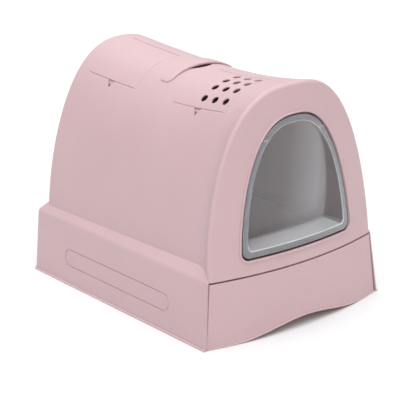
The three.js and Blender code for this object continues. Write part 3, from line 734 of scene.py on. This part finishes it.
def build_drawer_front():
    """The drawer front: a hollow board with a lip along its foot."""
    board = fascia("drawer_fascia", 0.0, FASCIA["back"], 0.8)

    def lip_place(u, v, w):
        half = SKIRT["foot"] - FASCIA["side"] - 0.4
        x = mix(-half, half, u)
        edge = np.minimum(w, 1 - w) * LIP["height"]
        front = front_y(x, np.zeros_like(x)) - LIP["proud"]
        return x, mix(front + fillet_inset(0.9, edge), front + 7, v), fascia_foot(x) + w * LIP["height"]

    combine(board, [lattice("lip", (96, 1, 8), lip_place)], "UNION")
    return combine(board, [fascia("inner", FASCIA["wall"], FASCIA["back"] + 10, 1.0)])


def build_tray():
    """The tray, lofted from its outer floor up its wall, over its rim and down to its inner floor."""
    def ring(inset, z, corner):
        share = (z - TRAY["floor"]) / (TRAY["top"] - TRAY["floor"])
        half = mix(TRAY["foot_half_width"], TRAY["top_half_width"], share) - inset
        front = TRAY["front"] + max(inset, 0) + TRAY["end_draft"] * (1 - share) * 0.4
        rear = TRAY["rear"] - inset - TRAY["end_draft"] * (1 - share)
        corners = [(-half, front), (half, front), (half, rear), (-half, rear)]
        loop = rounded_polygon(corners, corner, SIDE_PARTS)
        return np.concatenate([loop, np.full((len(loop), 1), z)], 1)

    top, rim, wall = TRAY["top"], TRAY["rim"], TRAY["wall"]
    under = top - TRAY["rim_height"]
    outside = [(6.0, 5.0, 16), (2.0, 5.8, 19), (0.4, 8.0, 20), (0.0, 14.0, 20), (0.0, under - 0.4, 22)]
    over_rim = [(-0.4, under, 22), (0.5 - rim, under, 19), (-rim, under + 0.5, 19), (-rim, top - 0.8, 19),
                (0.8 - rim, top, 19), (wall - 0.8, top, 21)]
    inside = [(wall, top - 0.8, 20), (wall, 16.0, 18), (wall + 1.5, 10.0, 17), (wall + 6.0, 7.2, 14)]
    return loft("tray_pan", [ring(*level) for level in outside + over_rim + inside])


# ---- The flap ----

# The flange from its outer edge to the crease, as pairs of inset and depth.
FLANGE_PROFILE = [(0.0, 0.5), (0.25, 0.15), (0.8, 0.0), (5.0, 0.0), (9.3, 0.0), (10.2, 0.1), (10.8, 0.35)]
# The dish from the crease to its floor, as shares of its draft and depth.
DISH_PROFILE = [(0.03, 0.06), (0.3, 0.36), (0.6, 0.7), (0.82, 0.9), (0.93, 0.97), (1.0, 1.0)]
FLANGE_RINGS, CREASE_RINGS = slice(0, 6), slice(5, 8)


def mark_rings(piece, rings, index):
    """Gives one of a piece's materials to the faces whose corners all lie on some rings of points."""
    points = np.concatenate(rings) * MM
    tree = KDTree(len(points))
    for i, point in enumerate(points):
        tree.insert(point, i)
    tree.balance()
    near = [tree.find(vertex.co)[2] < 0.02 * MM for vertex in piece.data.vertices]
    for face in piece.data.polygons:
        if all(near[i] for i in face.vertices):
            face.material_index = index


def flap_rings():
    """Loops of points over the flap's front face, from its outer edge to the floor of its dish."""
    arch = inset_arch(DOOR, FLAP["clearance"])
    dish = inset_arch(arch, FLAP["flange"])
    steps = np.linspace(0, 1, ARCH_SIDE_STEPS + 1)

    def loop_at(half, z, depth):
        floor = [[x, z[0], depth[0]] for x in np.linspace(-half[0], half[0], ARCH_FLOOR_STEPS + 1)]
        right = list(zip(half[1:], z[1:], depth[1:]))
        left = list(zip(-half[1:-1], z[1:-1], depth[1:-1]))[::-1]
        x, z, depth = np.array(floor + right + left).T
        return np.stack([x, front_y(x, z) + FLAP["recess"] + depth, z], -1)

    rings = []
    for inset, depth in FLANGE_PROFILE:
        half, z = outline_at(inset_arch(arch, inset), steps)
        rings.append(loop_at(half, z, np.full_like(z, depth)))
    half, z = outline_at(dish, steps)
    share = clamp01((dish["top"] - z) / (dish["top"] - dish["bottom"]))
    for draft, sink in DISH_PROFILE:
        lifted = z + draft * FLAP["rise"] * (1 - steps) ** 2
        narrow = np.maximum(half - draft * share * FLAP["draft"], 0)
        rings.append(loop_at(narrow, lifted, FLAP["step"] + sink * FLAP["depth"] * share))
    return rings, FLAP["step"] + FLAP["depth"] * share


def flap_face():
    """Points and faces of the flap's front: the strips between its rings, and rows across its dish."""
    rings, depths = flap_rings()
    n, last = len(rings[0]), (len(rings) - 1) * len(rings[0])
    faces = []
    for a in range(0, last, n):
        b = a + n
        faces += [[a + i, a + (i + 1) % n, b + (i + 1) % n, b + i] for i in range(n)]
    points = list(np.concatenate(rings))
    rows = [[last + i for i in range(ARCH_FLOOR_STEPS + 1)]]
    for k in range(1, ARCH_SIDE_STEPS):
        left, right = last + n - k, last + ARCH_FLOOR_STEPS + k
        z = points[left][2]
        row = []
        for i in range(1, ARCH_FLOOR_STEPS):
            x = mix(points[left][0], points[right][0], i / ARCH_FLOOR_STEPS)
            row.append(len(points))
            points.append(np.array([x, front_y(x, z) + FLAP["recess"] + depths[k], z]))
        rows.append([left] + row + [right])
    for low, high in zip(rows, rows[1:]):
        faces += [[low[i], low[i + 1], high[i + 1], high[i]] for i in range(ARCH_FLOOR_STEPS)]
    crown = last + ARCH_FLOOR_STEPS + ARCH_SIDE_STEPS
    faces += [[rows[-1][i], rows[-1][i + 1], crown] for i in range(ARCH_FLOOR_STEPS)]
    return rings, points, faces


def build_flap():
    """The transparent flap: a flange in the doorway round a dish that deepens towards its foot."""
    rings, points, faces = flap_face()
    flap = make("flap_pane", points, faces)
    for material in FLAP_MATERIALS:
        flap.data.materials.append(material)
    # The flange takes the smoke with its painted sky reflection.
    mark_rings(flap, rings[FLANGE_RINGS], 1)
    # The faces along the crease take the painted highlight.
    mark_rings(flap, rings[CREASE_RINGS], 2)
    solidify = flap.modifiers.new("wall", "SOLIDIFY")
    solidify.thickness = FLAP["thickness"] * MM
    solidify.offset = -1.0
    solidify.use_even_offset = False
    apply_modifiers(flap)
    knuckle = FLAP_KNUCKLE
    knuckles = door_rods("knuckles", knuckle["radius"], knuckle["inner"], knuckle["outer"])
    combine(flap, [knuckles], "UNION")
    holes = door_rods("pin holes", knuckle["hole"], knuckle["hole_inner"], knuckle["hole_outer"])
    return combine(flap, [holes])


# ---- Materials ----

def srgb(red, green, blue):
    """A display colour, 0 to 255, as the linear colour that shaders take."""
    def linear(value):
        value /= 255
        return value / 12.92 if value <= 0.04045 else ((value + 0.055) / 1.055) ** 2.4

    return (linear(red), linear(green), linear(blue), 1.0)


class Nodes:
    """Adds nodes to a new material and links them."""

    def __init__(self, name):
        self.material = bpy.data.materials.new(name)
        self.material.use_nodes = True
        self.tree = self.material.node_tree
        self.shader = next(n for n in self.tree.nodes if n.type == "BSDF_PRINCIPLED")
        self.coordinates = self.tree.nodes.new("ShaderNodeTexCoord").outputs["Object"]

    def link(self, source, target):
        self.tree.links.new(source, target)

    def noise(self, scale, detail=2.0, roughness=0.5):
        """Noise from 0 to 1, at a scale per metre."""
        node = self.tree.nodes.new("ShaderNodeTexNoise")
        node.inputs["Scale"].default_value = scale
        node.inputs["Detail"].default_value = detail
        node.inputs["Roughness"].default_value = roughness
        self.link(self.coordinates, node.inputs["Vector"])
        return node.outputs["Fac"]

    def spread(self, value, low, high, out_low, out_high):
        """Maps a value's range to another range."""
        node = self.tree.nodes.new("ShaderNodeMapRange")
        limits = {"From Min": low, "From Max": high, "To Min": out_low, "To Max": out_high}
        for key, number in limits.items():
            node.inputs[key].default_value = number
        self.link(value, node.inputs["Value"])
        return node.outputs["Result"]

    def colours(self, factor, first, second):
        """A mix of two colours."""
        node = self.tree.nodes.new("ShaderNodeMix")
        node.data_type = "RGBA"
        node.inputs["A"].default_value = first
        node.inputs["B"].default_value = second
        self.link(factor, node.inputs["Factor"])
        return node.outputs["Result"]

    def bump(self, height, distance, strength=1.0):
        """A normal bumped by a height, with its distance in metres."""
        node = self.tree.nodes.new("ShaderNodeBump")
        node.inputs["Distance"].default_value = distance
        node.inputs["Strength"].default_value = strength
        self.link(height, node.inputs["Height"])
        return node.outputs["Normal"]

    def add(self, first, second, weight):
        """The first value plus a weighted second one."""
        node = self.tree.nodes.new("ShaderNodeMath")
        node.operation = "MULTIPLY_ADD"
        node.inputs[1].default_value = weight
        self.link(second, node.inputs[0])
        self.link(first, node.inputs[2])
        return node.outputs["Value"]

    def to_shader(self, **sources):
        """Links outputs to the shader's sockets, which are named with underscores for spaces."""
        for name, source in sources.items():
            self.link(source, self.shader.inputs[name.replace("_", " ")])

    def fix(self, **values):
        """Sets the shader's sockets, which are named with underscores for spaces."""
        for name, value in values.items():
            self.shader.inputs[name.replace("_", " ")].default_value = value


def moulded_plastic(name, colour, roughness=0.46, grain=0.00003, variation=0.03):
    """Satin moulded plastic: fine erosion grain, faint flow mottling and an uneven gloss."""
    nodes = Nodes(name)
    light = tuple(c * (1 + variation) for c in colour[:3]) + (1.0,)
    dark = tuple(c * (1 - variation) for c in colour[:3]) + (1.0,)
    flow = nodes.noise(9.0, 3.0, 0.55)
    speck = nodes.noise(900.0, 1.0)
    mottle = nodes.spread(nodes.add(flow, speck, 0.25), 0.35, 0.9, 0.0, 1.0)
    fine, coarse = nodes.noise(2600.0, 2.0), nodes.noise(700.0, 1.0)
    gloss = nodes.spread(nodes.add(flow, coarse, 0.5), 0.45, 1.05, roughness - 0.05, roughness + 0.06)
    bumps = nodes.bump(nodes.add(fine, coarse, 0.8), grain, 0.6)
    nodes.to_shader(Base_Color=nodes.colours(mottle, dark, light), Roughness=gloss, Normal=bumps)
    nodes.fix(Subsurface_Weight=0.15, Subsurface_Radius=(1.0, 0.4, 0.35), Subsurface_Scale=0.004)
    return nodes.material


def smoked_pane(name, dark, light, clear, aslant):
    """Clear smoke-grey plastic: see-through where it is faced, and opaque where it is seen aslant, where
    its pale colour is a painted reflection of the sky.
    """
    nodes = Nodes(name)
    haze = nodes.noise(14.0, 3.0)
    facing = nodes.tree.nodes.new("ShaderNodeLayerWeight")
    facing.inputs["Blend"].default_value = 0.5
    cover = nodes.spread(facing.outputs["Facing"], 0.3, 0.8, clear, aslant)
    gloss = nodes.spread(haze, 0.3, 0.7, 0.05, 0.1)
    nodes.to_shader(Base_Color=nodes.colours(haze, dark, light), Roughness=gloss, Alpha=cover)
    nodes.fix(IOR=1.55, Coat_Weight=1.0, Coat_Roughness=0.03)
    return nodes.material


def carbon_foam(name):
    """Open-cell black filter foam, with painted shade in its pores."""
    nodes = Nodes(name)
    voronoi = nodes.tree.nodes.new("ShaderNodeTexVoronoi")
    voronoi.inputs["Scale"].default_value = 520.0
    nodes.link(nodes.coordinates, voronoi.inputs["Vector"])
    cells = voronoi.outputs["Distance"]
    # Darker where the cells' pits are: painted shade in the open pores.
    colour = nodes.colours(nodes.spread(cells, 0.1, 0.7, 0.0, 1.0), srgb(30, 21, 19), srgb(80, 62, 57))
    gloss = nodes.spread(nodes.noise(40.0), 0.3, 0.7, 0.85, 1.0)
    nodes.to_shader(Base_Color=colour, Roughness=gloss, Normal=nodes.bump(cells, 0.0009))
    return nodes.material


PINK = srgb(195, 167, 171)
shell_plastic = moulded_plastic("shell_plastic", PINK)
lid_plastic = moulded_plastic("lid_plastic", PINK)
# Parts inside the hood get a darker, more saturated copy of the shell pink: painted shade and warm bounce
# of the dim cabin.
inner_plastic = moulded_plastic("inner_plastic", srgb(190, 160, 163), 0.55)
pin_plastic = moulded_plastic("pin_plastic", srgb(180, 150, 153), 0.4)
# Pale bluish smoke: where the pane is seen aslant, this colour shows as a painted reflection of the sky.
smoke_plastic = smoked_pane("smoke_plastic", srgb(202, 203, 207), srgb(214, 215, 220), 0.14, 0.88)
# The flange's bluish, less see-through smoke is a painted reflection of the sky on it.
smoke_flange_painted_reflection = smoked_pane("smoke_flange_painted_reflection", srgb(166, 170, 177), srgb(180, 184, 192), 0.33, 0.88)
# Pale, nearly opaque smoke along the flap's crease: a painted highlight of light gathering in the bends.
painted_crease_highlight = smoked_pane("painted_crease_highlight", srgb(218, 220, 214), srgb(228, 230, 226), 0.6, 0.9)
foam = carbon_foam("carbon_foam")
FLAP_MATERIALS = [smoke_plastic, smoke_flange_painted_reflection, painted_crease_highlight]


# ---- Pieces ----

finish_piece(build_hood(), "shell", ["hood"], [shell_plastic])
finish_piece(build_strap(), "shell", ["handle_strap"], [shell_plastic])
filter_lid = combine(build_lid("filter_lid_panel", "filter"), vent_cutters())
finish_piece(filter_lid, "filter_lid", ["filter_hatch"], [lid_plastic])
storage_lid = build_lid("storage_lid_panel", "storage")
finish_piece(storage_lid, "storage_lid", ["storage_hatch"], [lid_plastic])
finish_piece(build_drawer_front(), "drawer", ["drawer_front"], [shell_plastic])
finish_piece(build_tray(), "drawer", ["litter_tray"], [inner_plastic])
finish_piece(build_flap(), "door", ["door_flap"], FLAP_MATERIALS, 50.0)


def build_pad():
    """The filter pad: a crowned slab of foam with soft edges."""
    low, high = (np.array(corner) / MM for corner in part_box("filter_pad"))
    size = high - low
    steps = smooth_steps(PAD_STEPS, 0.05)

    def place(u, v, w):
        x, y = steps[np.rint(u * PAD_STEPS).astype(int)], steps[np.rint(v * PAD_STEPS).astype(int)]
        edge = np.minimum(np.minimum(x, 1 - x) * size[0], np.minimum(y, 1 - y) * size[1])
        rounding = fillet_inset(PAD["rounding"], edge)
        crown = PAD["crown"] * (np.sin(math.pi * x) * np.sin(math.pi * y) - 1)
        z = mix(low[2] + rounding, high[2] - rounding + crown, w)
        return low[0] + x * size[0], low[1] + y * size[1], z

    return lattice("carbon_pad", (PAD_STEPS, PAD_STEPS, 4), place)


pad = build_pad()
finish_piece(pad, "shell", ["filter_pad"], [foam], 60.0)

for name, node in frame["nodes"].items():
    if node.hide_render:
        continue
    node.data.materials.clear()
    # Parts inside take the darker pink with its painted shade.
    node.data.materials.append(pin_plastic if "pin" in name else inner_plastic)
    bevel = node.modifiers.new("edges", "BEVEL")
    bevel.width, bevel.segments = NODE_EDGE * MM, 2
    bevel.limit_method, bevel.angle_limit = "ANGLE", math.radians(40)
    bevel.harden_normals = True


# ---- Floor, light and camera ----

FLOOR_REACH = 9e4
VIEW = dict(azimuth=-37.35, elevation=18.69, roll=-2.1, distance=2.799, target=(-0.0044, 0, 0.1596))
LENS, SENSOR, FAR_CLIP = 138.15, 36.0, 200.0
SKY_HORIZON, SKY_ZENITH = 0.06, 1.12


def build_floor():
    """A plain pale floor that reaches to the horizon."""
    nodes = Nodes("studio_floor")
    nodes.to_shader(Base_Color=nodes.colours(nodes.noise(0.7), srgb(220, 221, 222), srgb(223, 224, 225)))
    nodes.fix(Roughness=0.9)
    corners = [(x * FLOOR_REACH, y * FLOOR_REACH, 0) for x, y in ((-1, -1), (1, -1), (1, 1), (-1, 1))]
    floor = make("floor", corners, [[0, 1, 2, 3]])
    floor.data.materials.append(nodes.material)
    floor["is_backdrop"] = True


def direction(azimuth, elevation):
    a, e = math.radians(azimuth), math.radians(elevation)
    return Vector((math.sin(a) * math.cos(e), -math.cos(a) * math.cos(e), math.sin(e)))


def build_camera():
    """The camera: in front, to the left and a little above, with a slight roll."""
    back, roll = direction(VIEW["azimuth"], VIEW["elevation"]), math.radians(VIEW["roll"])
    right = (-back).cross(Vector((0, 0, 1))).normalized()
    up = right.cross(-back)
    turned_right = math.cos(roll) * right + math.sin(roll) * up
    turned_up = -math.sin(roll) * right + math.cos(roll) * up
    data = bpy.data.cameras.new("camera")
    data.sensor_width, data.lens, data.clip_end = SENSOR, LENS, FAR_CLIP
    camera = bpy.data.objects.new("camera", data)
    bpy.context.scene.collection.objects.link(camera)
    axes = Matrix([turned_right, turned_up, back]).transposed().to_4x4()
    camera.matrix_world = Matrix.Translation(Vector(VIEW["target"]) + back * VIEW["distance"]) @ axes
    bpy.context.scene.camera = camera


def build_world(horizon, zenith):
    """A soft sky that brightens from the horizon to the zenith."""
    world = bpy.data.worlds.new("studio")
    bpy.context.scene.world = world
    world.use_nodes = True
    tree = world.node_tree
    coordinates = tree.nodes.new("ShaderNodeTexCoord")
    split = tree.nodes.new("ShaderNodeSeparateXYZ")
    ramp = tree.nodes.new("ShaderNodeMapRange")
    tree.links.new(coordinates.outputs["Generated"], split.inputs["Vector"])
    tree.links.new(split.outputs["Z"], ramp.inputs["Value"])
    ramp.inputs["To Min"].default_value, ramp.inputs["To Max"].default_value = horizon, zenith
    tree.links.new(ramp.outputs["Result"], tree.nodes["Background"].inputs["Strength"])
    tree.nodes["Background"].inputs["Color"].default_value = (1, 1, 1, 1)


def sun(name, azimuth, elevation, strength, softness, colour):
    """A very soft distant light; its softness is its width in degrees."""
    light = bpy.data.lights.new(name, "SUN")
    light.energy, light.angle, light.color = strength, math.radians(softness), colour
    lamp = bpy.data.objects.new(name, light)
    bpy.context.scene.collection.objects.link(lamp)
    lamp.rotation_euler = direction(azimuth, elevation).to_track_quat("Z", "Y").to_euler()


build_floor()
build_world(SKY_HORIZON, SKY_ZENITH)
sun("top", -45, 73, 2.05, 60, (0.965, 0.98, 1.0))
sun("front", -28, 32, 0.62, 40, (1.0, 0.91, 0.81))
sun("rear", 140, 35, 0.35, 60, (1.0, 0.99, 0.98))
build_camera()
bpy.context.scene.view_settings.view_transform = "Standard"

boxes = {"cad": cad_box, "visual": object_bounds()}
{name: [list(corner) for corner in box] for name, box in boxes.items()}
